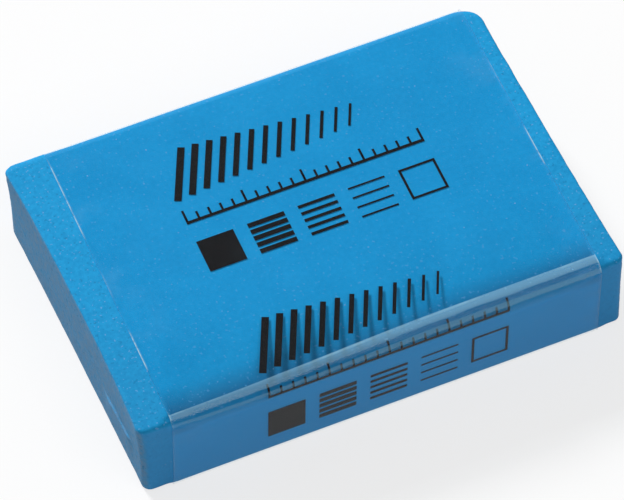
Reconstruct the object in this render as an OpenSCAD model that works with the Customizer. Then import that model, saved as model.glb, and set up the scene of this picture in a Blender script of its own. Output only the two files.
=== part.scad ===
// Kneadable putty eraser: a die-cut block of soft putty in a clear film sleeve.
// The sleeve is one strip of film, wrapped round the block's girth at a slight skew
// and glued to itself in a lap on the underside; both ends of the block stay bare.
// Millimetres. X runs along the block, Y across it, Z up. The sleeve's flat underside lies on Z = 0.

/* [Overall size] */
// Length of the block, from flared corner to flared corner
block_length = 43.4; // [32:0.1:60]
// Width over the sleeve
sleeved_width = 30.4; // [20:0.1:45]
// Height over the sleeve
sleeved_height = 8.5; // [5.5:0.1:16]

/* [Die-cut ends] */
// How deep the left end face is dished between its corners
left_dish = 0.06; // [0:0.02:0.6]
// How deep the right end face is dished between its corners
right_dish = 0.04; // [0:0.02:0.6]
// How far the left end's top corners flare out past their foot
left_flare = 0.3; // [0:0.02:0.6]
// How far the right end's top corners flare out past their foot
right_flare = 0.1; // [0:0.02:0.6]
// Radius of the edges round the cut end faces
end_edge_radius = 0.2; // [0.15:0.05:0.6]
// Plan radius of the back left corner
back_left_radius = 0.8; // [0.6:0.1:3]
// Plan radius of the back right corner
back_right_radius = 2.0; // [0.6:0.1:3]
// Plan radius of the front right corner
front_right_radius = 0.8; // [0.6:0.1:3]
// Plan radius of the front left corner
front_left_radius = 0.8; // [0.6:0.1:3]

/* [Long edges, pressed soft by the film] */
// How far the top has slumped at its front edge
front_slump = 1.0; // [0:0.02:1.2]
// How far back from the front edge the slump reaches
front_slump_reach = 10; // [2:0.1:12]
// How far the top has slumped at its back edge
back_slump = 0.1; // [0:0.02:0.8]
// How far in from the back edge that slump reaches
back_slump_reach = 3; // [2:0.1:7]
// How far the underside is drawn up at its long edges
under_slump = 0.04; // [0:0.02:0.4]
// How far in from the long edges that reaches
under_slump_reach = 2.4; // [2:0.1:7]

/* [Film sleeve] */
// Thickness of the film
film_wall = 0.04; // [0.03:0.01:0.1]
// Gap that the snug sleeve keeps to the block
film_clearance = 0.03; // [0.03:0.01:0.2]
// Outside radius at which the taut film turns each top edge
film_top_radius = 1.1; // [0.8:0.05:2]
// Outside radius at which the film turns each under edge
film_under_radius = 0.45; // [0.3:0.05:1.5]
// Bare putty left of the sleeve, at mid-width on top
left_bare = 3.4; // [2:0.05:6]
// Bare putty right of the sleeve, at mid-width on top
right_bare = 1.8; // [1.5:0.05:6]
// Skew at which the strip is wound round the block, in degrees
wrap_skew = 1.5; // [0:0.1:2]

/* [Lap seam on the underside] */
// Where the outer layer ends, measured back from mid-width
seam_place = 5; // [0:0.5:7]
// Width over which the inner layer is glued to the outer one
lap_width = 6; // [2:0.5:8]
// Open slit between the outer layer's end and the film that dives under it
seam_slit = 0.06; // [0.04:0.01:0.3]
// Length over which the film climbs from the outer to the inner layer
joggle = 0.4; // [0.2:0.1:1]

/* [Hidden] */

PUTTY_BLUE = [0.11, 0.57, 0.80];
CLEAR_FILM = [0.86, 0.93, 0.98, 0.3];

// The block fills the sleeve up to the clearance, and lies on the two film layers of the lap.
block_half_width = sleeved_width / 2 - film_wall - film_clearance;
block_floor = 2 * film_wall + film_clearance;
block_roof = sleeved_height - film_wall - film_clearance;

// Steps of the block's skin: per plan corner, per edge radius, and along each side.
CORNER_STEPS = 5;
EDGE_STEPS = 4;
LONG_SIDE_STEPS = 6;
// Close steps at either end of a long side, where the film's press dies out, and their pitch.
CLOSE_STEPS = 9;
CLOSE_PITCH = 0.28;
END_STEPS = 12;
WALL_STEPS = 6;
SLUMP_STEPS = 6;

// Least radius that any long edge keeps.
LEAST_EDGE = 0.2;
// Radius of a long edge that fits concentrically inside the film's turn. An edge that has slumped
// by some depth needs only the rest of that radius to stay inside the film.
function long_edge(film_radius, slump_depth) =
    max(film_radius - film_wall - film_clearance - slump_depth, LEAST_EDGE);

// Edge radii of the block: [front, back, ends].
under_edges = [
    long_edge(film_under_radius, under_slump),
    long_edge(film_under_radius, under_slump),
    end_edge_radius,
];
top_edges = [
    long_edge(film_top_radius, front_slump),
    long_edge(film_top_radius, back_slump),
    end_edge_radius,
];

// The innermost rings lie just past the slumps, or stop short of mid-width on a narrow block.
top_inset = min(max(front_slump_reach, back_slump_reach), block_half_width - 1);
under_inset = min(under_slump_reach, block_half_width - 1);
// Least plan radius that a corner keeps on the rings inside the block's wall.
LEAST_RADIUS = 0.3;
// Power of the curve by which a face slumps from its flat middle to a long edge.
SLUMP_CURVE = 2;
// How far past the film's edge it still presses the block fully, and over what length that dies out.
PRESS_MARGIN = 0.35;
PRESS_FADE = 0.9;
// Power of the curve by which a flare grows from the foot of an end to its top.
FLARE_RISE = 3.5;
// Power of the curve by which an end sweeps out from its middle to its corners.
END_SWEEP = 3;
// Power of the curve by which the flare and the dish die out towards the middle of the block.
END_FADE = 4;

// Each end: [reach of its foot, dish, flare, distance of its outermost points from mid-width].
left_end = [
    block_length / 2 - left_flare, left_dish, left_flare,
    block_half_width - min(back_left_radius, front_left_radius),
];
right_end = [
    block_length / 2 - right_flare, right_dish, right_flare,
    block_half_width - min(back_right_radius, front_right_radius),
];

// Plan corners, anticlockwise from the front right: [side in x, side in y, radius, first angle].
PLAN_CORNERS = [
    [1, -1, front_right_radius, -90],
    [1, 1, back_right_radius, 0],
    [-1, 1, back_left_radius, 90],
    [-1, -1, front_left_radius, 180],
];

function mix(a, b, t) = a + (b - a) * t;
function end_at(x) = x > 0 ? right_end : left_end;

// A corner's arc, inset by [front, back, ends]: points of [x, y, edge radius below, edge radius on top].
// It never shrinks to a point, and its edge radii turn from the long side's to the end's.
function corner_arc(corner, insets) =
    let (
        side = corner[1] < 0 ? 0 : 1,
        rx = max(corner[2] - insets[2], LEAST_RADIUS),
        ry = max(corner[2] - insets[side], LEAST_RADIUS),
        cx = corner[0] * (end_at(corner[0])[0] - insets[2] - rx),
        cy = corner[1] * (block_half_width - insets[side] - ry)
    )
    [for (i = [0:CORNER_STEPS])
        let (a = corner[3] + 90 * i / CORNER_STEPS, turn = pow(cos(a), 2)) [
            cx + rx * cos(a),
            cy + ry * sin(a),
            mix(under_edges[side], under_edges[2], turn),
            mix(top_edges[side], top_edges[2], turn),
        ]];

// The shares of a straight run at which it has points: even on an end, and close together
// at either end of a long side.
end_shares = [for (i = [1:END_STEPS - 1]) i / END_STEPS];
close_share = CLOSE_STEPS * CLOSE_PITCH / block_length;
long_side_shares = concat(
    [for (i = [1:CLOSE_STEPS]) close_share * i / CLOSE_STEPS],
    [for (i = [1:LONG_SIDE_STEPS - 1]) mix(close_share, 1 - close_share, i / LONG_SIDE_STEPS)],
    [for (i = [CLOSE_STEPS:-1:1]) 1 - close_share * i / CLOSE_STEPS]
);

// The plan outline at its insets, as a ring of points that has the same count at every inset.
function plan_ring(insets) =
    let (arcs = [for (c = PLAN_CORNERS) corner_arc(c, insets)])
    [for (k = [0:3])
        let (
            here = arcs[k],
            next = arcs[(k + 1) % 4],
            shares = k % 2 == 0 ? end_shares : long_side_shares
        )
        each concat(here, [for (t = shares) mix(here[CORNER_STEPS], next[0], t)])];

// Lean of the ends along X, where high runs from 0 at the foot to 1 at the top.
function lean(x, y, high) =
    let (
        end = end_at(x),
        sweep = pow(min(abs(y) / end[3], 1), END_SWEEP),
        fade = pow(min(abs(x) / end[0], 1), END_FADE)
    )
    sign(x) * fade * (end[2] * pow(high, FLARE_RISE) * sweep - end[1] * (1 - sweep));

// Share to which the film presses the block at a place: whole under the film, and dying out
// in an S curve just past its edges, so that the bare ends keep their cut edges.
function pressed(x, y) =
    let (
        along = x - wound(-y),
        past = max(left_edge - along, along - right_edge) - PRESS_MARGIN,
        t = min(max(past / PRESS_FADE, 0), 1)
    )
    1 - t * t * (3 - 2 * t);

// Slump of a face towards a long edge, as a soft curve that dies out at its reach.
function slump(depth, reach, from_edge) = depth * pow(max(1 - from_edge / reach, 0), SLUMP_CURVE);
function top_slump(x, y) =
    pressed(x, y) * (
        slump(front_slump, front_slump_reach, block_half_width + y)
        + slump(back_slump, back_slump_reach, block_half_width - y)
    );
function under_rise(x, y) =
    pressed(x, y) * (
        slump(under_slump, under_slump_reach, block_half_width + y)
        + slump(under_slump, under_slump_reach, block_half_width - y)
    );

// A rounded edge is a quarter turn in steps: the shares of its radius by which it lies in and falls.
function turned_in(i) = 1 - cos(90 * i / EDGE_STEPS);
function turned_down(i) = 1 - sin(90 * i / EDGE_STEPS);

// A ring of the skin at its insets. Its height runs from the underside, raised by a share of the
// edge radius there, to the top, lowered by a share of the edge radius on top.
function skin_ring(insets, high, raised, lowered) =
    [for (p = plan_ring(insets)) [
        p[0] + lean(p[0], p[1], high),
        p[1],
        mix(
            block_floor + under_rise(p[0], p[1]) + raised * p[2],
            block_roof - top_slump(p[0], p[1]) - lowered * p[3],
            high
        ),
    ]];

// The skin from the middle of the underside, up the wall, to the middle of the top.
function skin_rings() =
    let (flat_under = [1, 1, 1] * under_inset, flat_top = [1, 1, 1] * top_inset, wall = [0, 0, 0])
    [
        for (i = [0:SLUMP_STEPS - 1]) skin_ring(mix(flat_under, under_edges, i / SLUMP_STEPS), 0, 0, 0),
        for (i = [EDGE_STEPS:-1:1]) skin_ring(under_edges * turned_in(i), 0, turned_down(i), 0),
        for (i = [0:WALL_STEPS]) skin_ring(wall, i / WALL_STEPS, 1, 1),
        for (i = [1:EDGE_STEPS]) skin_ring(top_edges * turned_in(i), 1, 0, turned_down(i)),
        for (i = [1:SLUMP_STEPS]) skin_ring(mix(top_edges, flat_top, i / SLUMP_STEPS), 1, 0, 0),
    ];

// One solid from a stack of rings: triangles round the skin, and a fan about the middle of either end.
module skin(rings) {
    count = len(rings[0]);
    last = len(rings) - 1;
    foot = (last + 1) * count;
    function at(r, k) = r * count + k % count;
    polyhedron(
        points = concat(
            [for (r = rings) each r],
            [[0, 0, rings[0][0][2]], [0, 0, rings[last][0][2]]]
        ),
        faces = concat(
            [for (k = [0:count - 1]) [foot, at(0, k), at(0, k + 1)]],
            [for (r = [0:last - 1], k = [0:count - 1]) [at(r, k), at(r + 1, k), at(r + 1, k + 1)]],
            [for (r = [0:last - 1], k = [0:count - 1]) [at(r, k), at(r + 1, k + 1), at(r, k + 1)]],
            [for (k = [0:count - 1]) [foot + 1, at(last, k + 1), at(last, k)]]
        )
    );
}

// The block of putty, with flared die-cut ends and long edges that the film has pressed soft.
module eraser_block() {
    color(PUTTY_BLUE) skin(skin_rings());
}

// A plain rectangle with true arcs at its corners, of one radius on top and another below.
module round_rectangle(width, height, top_radius, under_radius) {
    translate([0, (under_radius - top_radius) / 2])
        square([width, height - top_radius - under_radius], center = true);
    for (turn = [[1, top_radius], [-1, under_radius]]) {
        translate([0, turn[0] * height / 4])
            square([width - 2 * turn[1], height / 2], center = true);
        for (x = [-1, 1])
            translate([x * (width / 2 - turn[1]), turn[0] * (height / 2 - turn[1])])
                circle(r = turn[1], $fn = 64);
    }
}

// The film's closed section round the block's girth.
module girth_ring() {
    difference() {
        round_rectangle(sleeved_width, sleeved_height, film_top_radius, film_under_radius);
        round_rectangle(
            sleeved_width - 2 * film_wall, sleeved_height - 2 * film_wall,
            film_top_radius - film_wall, film_under_radius - film_wall
        );
    }
}

// How far the wound strip has moved along X at a distance round the girth from mid-top.
function wound(girth) = -girth * tan(wrap_skew);

left_edge = left_bare - block_length / 2;
right_edge = block_length / 2 - right_bare;
// Where the film meets the inside of the side walls, from mid-width.
wall_inside = sleeved_width / 2 - film_wall;
// Distances round the girth, counted down the front from mid-top: where the top panel ends,
// where the underside panel begins, and where the seam lies on it.
girth_turn = wall_inside;
girth_foot = girth_turn + sleeved_height + 2 * film_wall;
girth_seam = girth_foot + wall_inside + seam_place;
// The same seam, counted the other way, down the back.
girth_seam_back = -girth_foot - wall_inside + seam_place;
// The cutters stand this far proud of the sleeve.
PROUD = 1;

// The strip's outline on one panel, through stations of [distance across the panel, girth there].
module strip_outline(stations) {
    polygon(concat(
        [for (s = stations) [left_edge + wound(s[1]), s[0]]],
        [for (i = [len(stations) - 1:-1:0]) [right_edge + wound(stations[i][1]), stations[i][0]]]
    ));
}

// The space that the skewed strip sweeps: top, both sides, and the underside in front of and behind the seam.
module strip_space() {
    outside = sleeved_width / 2 + PROUD;
    translate([0, 0, sleeved_height - film_top_radius])
        linear_extrude(height = film_top_radius + PROUD)
            strip_outline([
                [-outside, girth_turn], [-wall_inside, girth_turn],
                [wall_inside, -girth_turn], [outside, -girth_turn],
            ]);
    for (side = [-1, 1])
        translate([0, side * (outside - PROUD), 0])
            rotate([90, 0, 0])
                linear_extrude(height = 2 * PROUD, center = true)
                    strip_outline([
                        [film_under_radius, -side * girth_foot],
                        [sleeved_height - film_top_radius, -side * girth_turn],
                    ]);
    translate([0, 0, -PROUD])
        linear_extrude(height = film_under_radius + PROUD) {
            strip_outline([
                [-outside, girth_foot], [-wall_inside, girth_foot],
                [seam_place - seam_slit / 2, girth_seam - seam_slit / 2],
            ]);
            strip_outline([
                [seam_place + seam_slit / 2, girth_seam_back + seam_slit / 2],
                [wall_inside, -girth_foot], [outside, -girth_foot],
            ]);
        }
}

// The strip's inner end, which climbs over the film's wall and is glued to the outer layer.
module lap() {
    translate([0, 0, film_wall])
        linear_extrude(height = film_wall)
            strip_outline([
                [seam_place - joggle, girth_seam - joggle],
                [seam_place + lap_width, girth_seam + lap_width],
            ]);
}

// The clear film: a skewed wrap round the girth, closed by its glued lap.
module film_sleeve() {
    color(CLEAR_FILM) {
        intersection() {
            translate([0, 0, sleeved_height / 2])
                rotate([90, 0, 90])
                    linear_extrude(height = 2 * block_length, center = true) girth_ring();
            strip_space();
        }
        lap();
    }
}

eraser_block();
film_sleeve();
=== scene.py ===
"""Looks of a kneadable putty eraser: a die-cut block of putty in a clear, printed film sleeve.

Sizes are millimetres unless a name says otherwise. Meshes are made in metres in the frame of the
CAD part: X along the block, Y across it, Z up, with the film's flat underside on Z = 0.
A distance round the girth is counted from mid-top, and grows down the front.
"""

import logging
import math
from dataclasses import dataclass, field
from enum import Enum
from typing import Any, Callable, Sequence

import bpy
import numpy as np
from mathutils import Matrix, Vector, noise


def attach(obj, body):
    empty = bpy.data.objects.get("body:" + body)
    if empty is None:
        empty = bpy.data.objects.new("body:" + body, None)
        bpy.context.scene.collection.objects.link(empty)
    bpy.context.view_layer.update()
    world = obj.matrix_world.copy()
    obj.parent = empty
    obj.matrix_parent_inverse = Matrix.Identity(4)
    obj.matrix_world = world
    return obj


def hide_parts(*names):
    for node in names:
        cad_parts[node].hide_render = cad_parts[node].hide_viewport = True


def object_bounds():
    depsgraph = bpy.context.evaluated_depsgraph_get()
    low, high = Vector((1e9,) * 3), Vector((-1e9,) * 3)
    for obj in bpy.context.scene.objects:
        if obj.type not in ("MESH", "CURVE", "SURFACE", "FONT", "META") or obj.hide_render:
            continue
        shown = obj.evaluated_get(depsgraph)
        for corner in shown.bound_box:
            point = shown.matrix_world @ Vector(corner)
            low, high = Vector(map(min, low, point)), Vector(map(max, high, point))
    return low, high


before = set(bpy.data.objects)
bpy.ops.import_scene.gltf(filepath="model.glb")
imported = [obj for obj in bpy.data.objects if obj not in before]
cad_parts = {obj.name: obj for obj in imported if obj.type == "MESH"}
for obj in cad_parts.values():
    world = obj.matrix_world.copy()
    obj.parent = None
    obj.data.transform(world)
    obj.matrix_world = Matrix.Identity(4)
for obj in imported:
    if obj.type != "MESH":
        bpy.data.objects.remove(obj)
CAD_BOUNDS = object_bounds()

MM = 0.001
Colour = tuple[float, float, float]
Span = tuple[float, float]
log = logging.getLogger("putty_eraser")


class Slot(Enum):
    """The record's material slots."""

    PUTTY = "putty"
    CLEAR_FILM = "clear_film"


class End(Enum):
    """The block's two cut ends, by their side in X."""

    LEFT = -1
    RIGHT = 1


# ---------------------------------------------------------------- node trees


class Board:
    """Lays nodes in one shader or geometry tree and joins them."""

    def __init__(self, tree: bpy.types.NodeTree) -> None:
        """Starts from an empty tree.

        Args:
            tree: The tree to fill; any node it holds is removed.
        """
        self.tree = tree
        tree.nodes.clear()

    def feed(self, socket: bpy.types.NodeSocket, value: Any) -> None:
        """Links a socket or a field into an input, or sets a plain value on it; a colour may lack its alpha.

        Args:
            socket: The input to feed.
            value: A field, an output socket, or a plain value.
        """
        if isinstance(value, Field):
            value = value.socket
        if isinstance(value, bpy.types.NodeSocket):
            self.tree.links.new(value, socket)
        elif socket.type == "RGBA" and len(value) == 3:
            socket.default_value = (*value, 1)
        else:
            socket.default_value = value

    def node(self, kind: str, inputs: dict[str | int, Any] | None = None, **settings: Any) -> bpy.types.Node:
        """Adds a node.

        Args:
            kind: The node's type name.
            inputs: What feeds each input, by its name or its index.
            settings: The node's own properties.

        Returns:
            The new node.
        """
        made = self.tree.nodes.new(kind)
        for name, value in settings.items():
            setattr(made, name, value)
        for key, value in (inputs or {}).items():
            self.feed(made.inputs[key], value)
        return made

    def maths(self, operation: str, *values: Any, clamp: bool = False) -> "Field":
        """Adds a Math node.

        Args:
            operation: The node's operation.
            values: Its operands.
            clamp: Whether the result is held between 0 and 1.

        Returns:
            The result as a field.
        """
        made = self.node("ShaderNodeMath", dict(enumerate(values)), operation=operation, use_clamp=clamp)
        return Field(self, made.outputs[0])

    def ramp(
        self, value: Any, low: float, high: float, to_low: float = 0.0, to_high: float = 1.0
    ) -> "Field":
        """Maps a field smoothly from one range to another, held at the ends.

        Args:
            value: The field.
            low: Where the result reaches to_low.
            high: Where the result reaches to_high.
            to_low: The result at low.
            to_high: The result at high.

        Returns:
            The mapped field.
        """
        made = self.node(
            "ShaderNodeMapRange",
            {"Value": value, "From Min": low, "From Max": high, "To Min": to_low, "To Max": to_high},
            interpolation_type="SMOOTHSTEP",
        )
        return Field(self, made.outputs[0])

    def noise(self, place: Any, period: float, detail: float = 2.0, roughness: float = 0.5) -> "Field":
        """Adds soft noise of a given period.

        Args:
            place: The vector that the noise is read at, in metres.
            period: The size of its features, in millimetres.
            detail: How many finer octaves it holds.
            roughness: How strong each finer octave is.

        Returns:
            The noise, around 0.5.
        """
        made = self.node(
            "ShaderNodeTexNoise",
            {"Vector": place, "Scale": 1 / (period * MM), "Detail": detail, "Roughness": roughness},
        )
        return Field(self, made.outputs[0])

    def blend(self, factor: Any, below: Any, above: Any) -> bpy.types.NodeSocket:
        """Mixes two colours.

        Args:
            factor: The share of the upper colour.
            below: The lower colour.
            above: The upper colour.

        Returns:
            The mixed colour's socket.
        """
        made = self.node("ShaderNodeMix", {0: factor, 6: below, 7: above}, data_type="RGBA")
        return made.outputs[2]

    def place(self) -> bpy.types.NodeSocket:
        """The place in the piece's own coordinates, in a shader tree."""
        return self.node("ShaderNodeTexCoord").outputs["Object"]

    def vector(self, x: Any, y: Any, z: Any = 0.0) -> bpy.types.NodeSocket:
        """Joins three numbers to a vector."""
        return self.node("ShaderNodeCombineXYZ", {0: x, 1: y, 2: z}).outputs[0]

    def solid(
        self, colour: Any, roughness: Any, ior: float = 1.45, extra: dict[str, Any] | None = None
    ) -> bpy.types.NodeSocket:
        """Adds the surface of a solid that isn't a metal.

        Args:
            colour: Its colour.
            roughness: Its roughness.
            ior: Its index of refraction.
            extra: What feeds its other inputs.

        Returns:
            The shader's socket.
        """
        inputs = {"Base Color": colour, "Roughness": roughness, "IOR": ior, **(extra or {})}
        return self.node("ShaderNodeBsdfPrincipled", inputs).outputs[0]

    def attribute(self, name: str) -> "Field":
        """Reads a number stored on the mesh, in a shader tree."""
        return Field(self, self.node("ShaderNodeAttribute", attribute_name=name).outputs["Fac"])


@dataclass(frozen=True)
class Field:
    """A number in a node tree that takes plain arithmetic."""

    board: Board
    socket: bpy.types.NodeSocket

    def __add__(self, other: Any) -> "Field":
        """Sum."""
        return self.board.maths("ADD", self, other)

    def __sub__(self, other: Any) -> "Field":
        """Difference."""
        return self.board.maths("SUBTRACT", self, other)

    def __rsub__(self, other: float) -> "Field":
        """Difference from a plain number."""
        return self.board.maths("SUBTRACT", other, self)

    def __mul__(self, other: Any) -> "Field":
        """Product."""
        return self.board.maths("MULTIPLY", self, other)

    def __truediv__(self, other: Any) -> "Field":
        """Quotient."""
        return self.board.maths("DIVIDE", self, other)

    def least(self, other: Any) -> "Field":
        """The lesser of the two."""
        return self.board.maths("MINIMUM", self, other)

    def most(self, other: Any) -> "Field":
        """The greater of the two."""
        return self.board.maths("MAXIMUM", self, other)


@dataclass(frozen=True)
class Mottle:
    """A patchy pattern: noise that is eased from one share to another between two of its levels."""

    period: float
    levels: Span
    detail: float = 2.0
    roughness: float = 0.5
    shares: Span = (0.0, 1.0)

    def over(self, board: Board, place: Any) -> Field:
        """The pattern at a place, in a shader tree."""
        return board.ramp(
            board.noise(place, self.period, self.detail, self.roughness), *self.levels, *self.shares)


def new_material(name: str) -> tuple[bpy.types.Material, Board, bpy.types.Node]:
    """Makes an empty material.

    Args:
        name: Its name.

    Returns:
        The material, a board on its tree, and its output node.
    """
    made = bpy.data.materials.new(name)
    made.use_nodes = True
    board = Board(made.node_tree)
    return made, board, board.node("ShaderNodeOutputMaterial")


def new_geometry_tree(
    name: str, numbers: Sequence[str], counts: Sequence[str] = ()
) -> tuple[Board, bpy.types.NodeSocket, dict[str, Field]]:
    """Makes a geometry tree with a geometry input and output and named inputs for its sizes.

    Args:
        name: The tree's name.
        numbers: Its inputs that take any number.
        counts: Its inputs that take whole numbers.

    Returns:
        A board on the tree, its geometry input, and its other inputs by their names.
    """
    tree = bpy.data.node_groups.new(name, "GeometryNodeTree")
    sockets = [("Geometry", "INPUT", "Geometry"), ("Geometry", "OUTPUT", "Geometry")]
    sockets += [(item, "INPUT", "Float") for item in numbers] + [(item, "INPUT", "Int") for item in counts]
    for item, way, kind in sockets:
        tree.interface.new_socket(item, in_out=way, socket_type=f"NodeSocket{kind}")
    board = Board(tree)
    given = board.node("NodeGroupInput").outputs
    return board, given[0], {s.name: Field(board, s) for s in given[1:] if s.name}


# ---------------------------------------------------------------- meshes


def new_piece(name: str, places: np.ndarray, faces: Sequence[Sequence[int]]) -> bpy.types.Object:
    """Makes a mesh object whose place is in its mesh.

    Args:
        name: The object's name.
        places: Its vertices, in millimetres.
        faces: Its faces, wound so that they point outwards.

    Returns:
        The object.
    """
    mesh = bpy.data.meshes.new(name)
    mesh.from_pydata((np.asarray(places) * MM).tolist(), [], faces)
    mesh.polygons.foreach_set("use_smooth", np.ones(len(mesh.polygons), bool))
    mesh.update()
    made = bpy.data.objects.new(name, mesh)
    bpy.context.scene.collection.objects.link(made)
    return made


def store(piece: bpy.types.Object, name: str, values: np.ndarray) -> None:
    """Stores one number per vertex on a mesh, for its material or its geometry tree."""
    piece.data.attributes.new(name, "FLOAT", "POINT").data.foreach_set("value", values.astype(np.float32))


def grow(piece: bpy.types.Object, board: Board, values: dict[str, float]) -> None:
    """Runs a geometry tree on a piece and keeps the result as its plain mesh.

    Args:
        piece: The piece whose mesh goes in, and is replaced.
        board: The board of the tree.
        values: What each named input of the tree is set to.
    """
    modifier = piece.modifiers.new(board.tree.name, "NODES")
    modifier.node_group = board.tree
    sockets = {i.name: i.identifier for i in board.tree.interface.items_tree if i.in_out == "INPUT"}
    for name, value in values.items():
        modifier[sockets[name]] = value
    graph = bpy.context.evaluated_depsgraph_get()
    mesh = bpy.data.meshes.new_from_object(
        piece.evaluated_get(graph), preserve_all_data_layers=True, depsgraph=graph)
    piece.modifiers.remove(modifier)
    piece.data = mesh
    while mesh.materials and mesh.materials[0] is None:
        mesh.materials.pop(index=0)


def settle(piece: bpy.types.Object, slot: Slot, *nodes: str) -> None:
    """Hangs a finished piece on the part's one body, and hides and logs the nodes it stands for."""
    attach(piece, "root")
    if nodes:
        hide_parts(*nodes)
    log.info("%s: %d faces, stands for %s", piece.name, len(piece.data.polygons), nodes or "no node")


def smooth_step(values: np.ndarray, low: float, high: float) -> np.ndarray:
    """A smooth rise from 0 at low to 1 at high."""
    t = np.clip((values - low) / (high - low), 0, 1)
    return t * t * (3 - 2 * t)


def soft_noise(places: np.ndarray, period: Sequence[float], shift: float = 0.0) -> np.ndarray:
    """Smooth noise at many places.

    Args:
        places: The places, in millimetres.
        period: The size of its features along X, Y and Z.
        shift: Moves the pattern, so that two patterns differ.

    Returns:
        The noise, from about -1 to 1.
    """
    scaled = places / np.array(period) + shift
    return np.array([noise.noise(Vector(p)) for p in scaled.tolist()])


# ---------------------------------------------------------------- film sleeve


@dataclass(frozen=True)
class Glint:
    """A stretch of a cut film edge with a painted glint, by its distances round the girth."""

    end: End
    start: float
    stop: float
    strength: float


@dataclass
class Winding:
    """How a flat strip lies once it is wound round the block's girth."""

    width: float = 30.4
    height: float = 8.5
    top_radius: float = 1.1
    under_radius: float = 0.18
    skew_degrees: float = 1.5
    seam_place: float = 5.0
    joggle: float = 0.4
    lap_sink: float = 0.042
    ripple: float = 0.022
    ripple_period: float = 5.5
    ripple_fade: Span = (19.0, 22.0)

    @property
    def flat_half(self) -> float:
        """Half the flat width of the top panel."""
        return self.width / 2 - self.top_radius

    @property
    def top_turn(self) -> float:
        """Length of the quarter turn over a top edge."""
        return self.top_radius * math.pi / 2

    @property
    def under_turn(self) -> float:
        """Length of the quarter turn round an under edge."""
        return self.under_radius * math.pi / 2

    @property
    def side(self) -> float:
        """Flat height of a side panel."""
        return self.height - self.top_radius - self.under_radius

    @property
    def under_start(self) -> float:
        """Distance round the girth from mid-top to where the underside panel starts."""
        return self.flat_half + self.top_turn + self.side + self.under_turn

    @property
    def mid_under(self) -> float:
        """Distance round the girth from mid-top to the middle of the underside."""
        return self.under_start + self.width / 2 - self.under_radius

    @property
    def values(self) -> dict[str, float]:
        """The tree's inputs, in metres and as a slope."""
        return {
            "Flat Half": self.flat_half * MM,
            "Top Radius": self.top_radius * MM,
            "Under Radius": self.under_radius * MM,
            "Side": self.side * MM,
            "Skew": math.tan(math.radians(self.skew_degrees)),
            "Lap Start": (self.mid_under + self.seam_place - self.joggle) * MM,
            "Joggle": self.joggle * MM,
            "Lap Sink": self.lap_sink * MM,
            "Ripple": self.ripple * MM,
        }

    def tree(self) -> bpy.types.NodeTree:
        """Builds the tree that winds what is drawn flat round the girth.

        On the flat, X runs along the block, -Y is the distance round the girth, and Z is 0 on the
        film's outer face and negative inside it.

        Returns:
            The tree, used as a group by the trees of the film and its print.
        """
        board, flat, size = new_geometry_tree("wind_round_girth", list(self.values))
        place = board.node("GeometryNodeInputPosition").outputs[0]
        split = board.node("ShaderNodeSeparateXYZ", {0: place})
        x, back, depth = (Field(board, split.outputs[i]) for i in range(3))
        girth = back * -1.0
        far = board.maths("ABSOLUTE", back)
        top, under, quarter = size["Top Radius"], size["Under Radius"], math.pi / 2

        def turned(start: Field, radius: Field) -> Field:
            """The angle turned through by a quarter turn that starts at a distance round the girth."""
            return ((far - start) / radius).most(0.0).least(quarter)

        side_start = size["Flat Half"] + top * quarter
        under_start = side_start + size["Side"]
        first, second = turned(size["Flat Half"], top), turned(under_start, under)
        drop = (far - side_start).most(0.0).least(size["Side"])
        past = (far - under_start - under * quarter).most(0.0)
        reach = (
            far.least(size["Flat Half"])
            + top * board.maths("SINE", first)
            - under * (1.0 - board.maths("COSINE", second))
            - past
        )
        rise = size["Side"] + under + top * board.maths("COSINE", first) - drop \
            - under * board.maths("SINE", second)
        angle = first + second

        lapped = (girth - size["Lap Start"]) / size["Joggle"]
        lap = board.ramp(lapped, 0.0, 1.0) * size["Lap Sink"]
        waves = board.noise(board.vector(x, back), self.ripple_period, detail=1.0)
        still = board.ramp(far, self.ripple_fade[0] * MM, self.ripple_fade[1] * MM, 1.0, 0.0)
        inward = depth - lap - waves * size["Ripple"] * still

        side = board.maths("SIGN", back)
        out_y = (reach + inward * board.maths("SINE", angle)) * side
        out_z = rise + inward * board.maths("COSINE", angle)
        wound = board.vector(x + back * size["Skew"], out_y, out_z)
        moved = board.node("GeometryNodeSetPosition", {"Geometry": flat, "Position": wound})
        board.node("NodeGroupOutput", {0: moved.outputs[0]})
        return board.tree

    def wind(
        self, board: Board, tree: bpy.types.NodeTree, flat: bpy.types.NodeSocket, sizes: dict[str, Field]
    ) -> bpy.types.NodeSocket:
        """Adds the winding to another tree.

        Args:
            board: The other tree's board.
            tree: The tree that winds.
            flat: What is drawn flat.
            sizes: The other tree's own inputs, which hold the winding's.

        Returns:
            The wound geometry's socket.
        """
        inputs = {"Geometry": flat, **{name: sizes[name] for name in self.values}}
        return board.node("GeometryNodeGroup", inputs, node_tree=tree).outputs[0]


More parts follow.
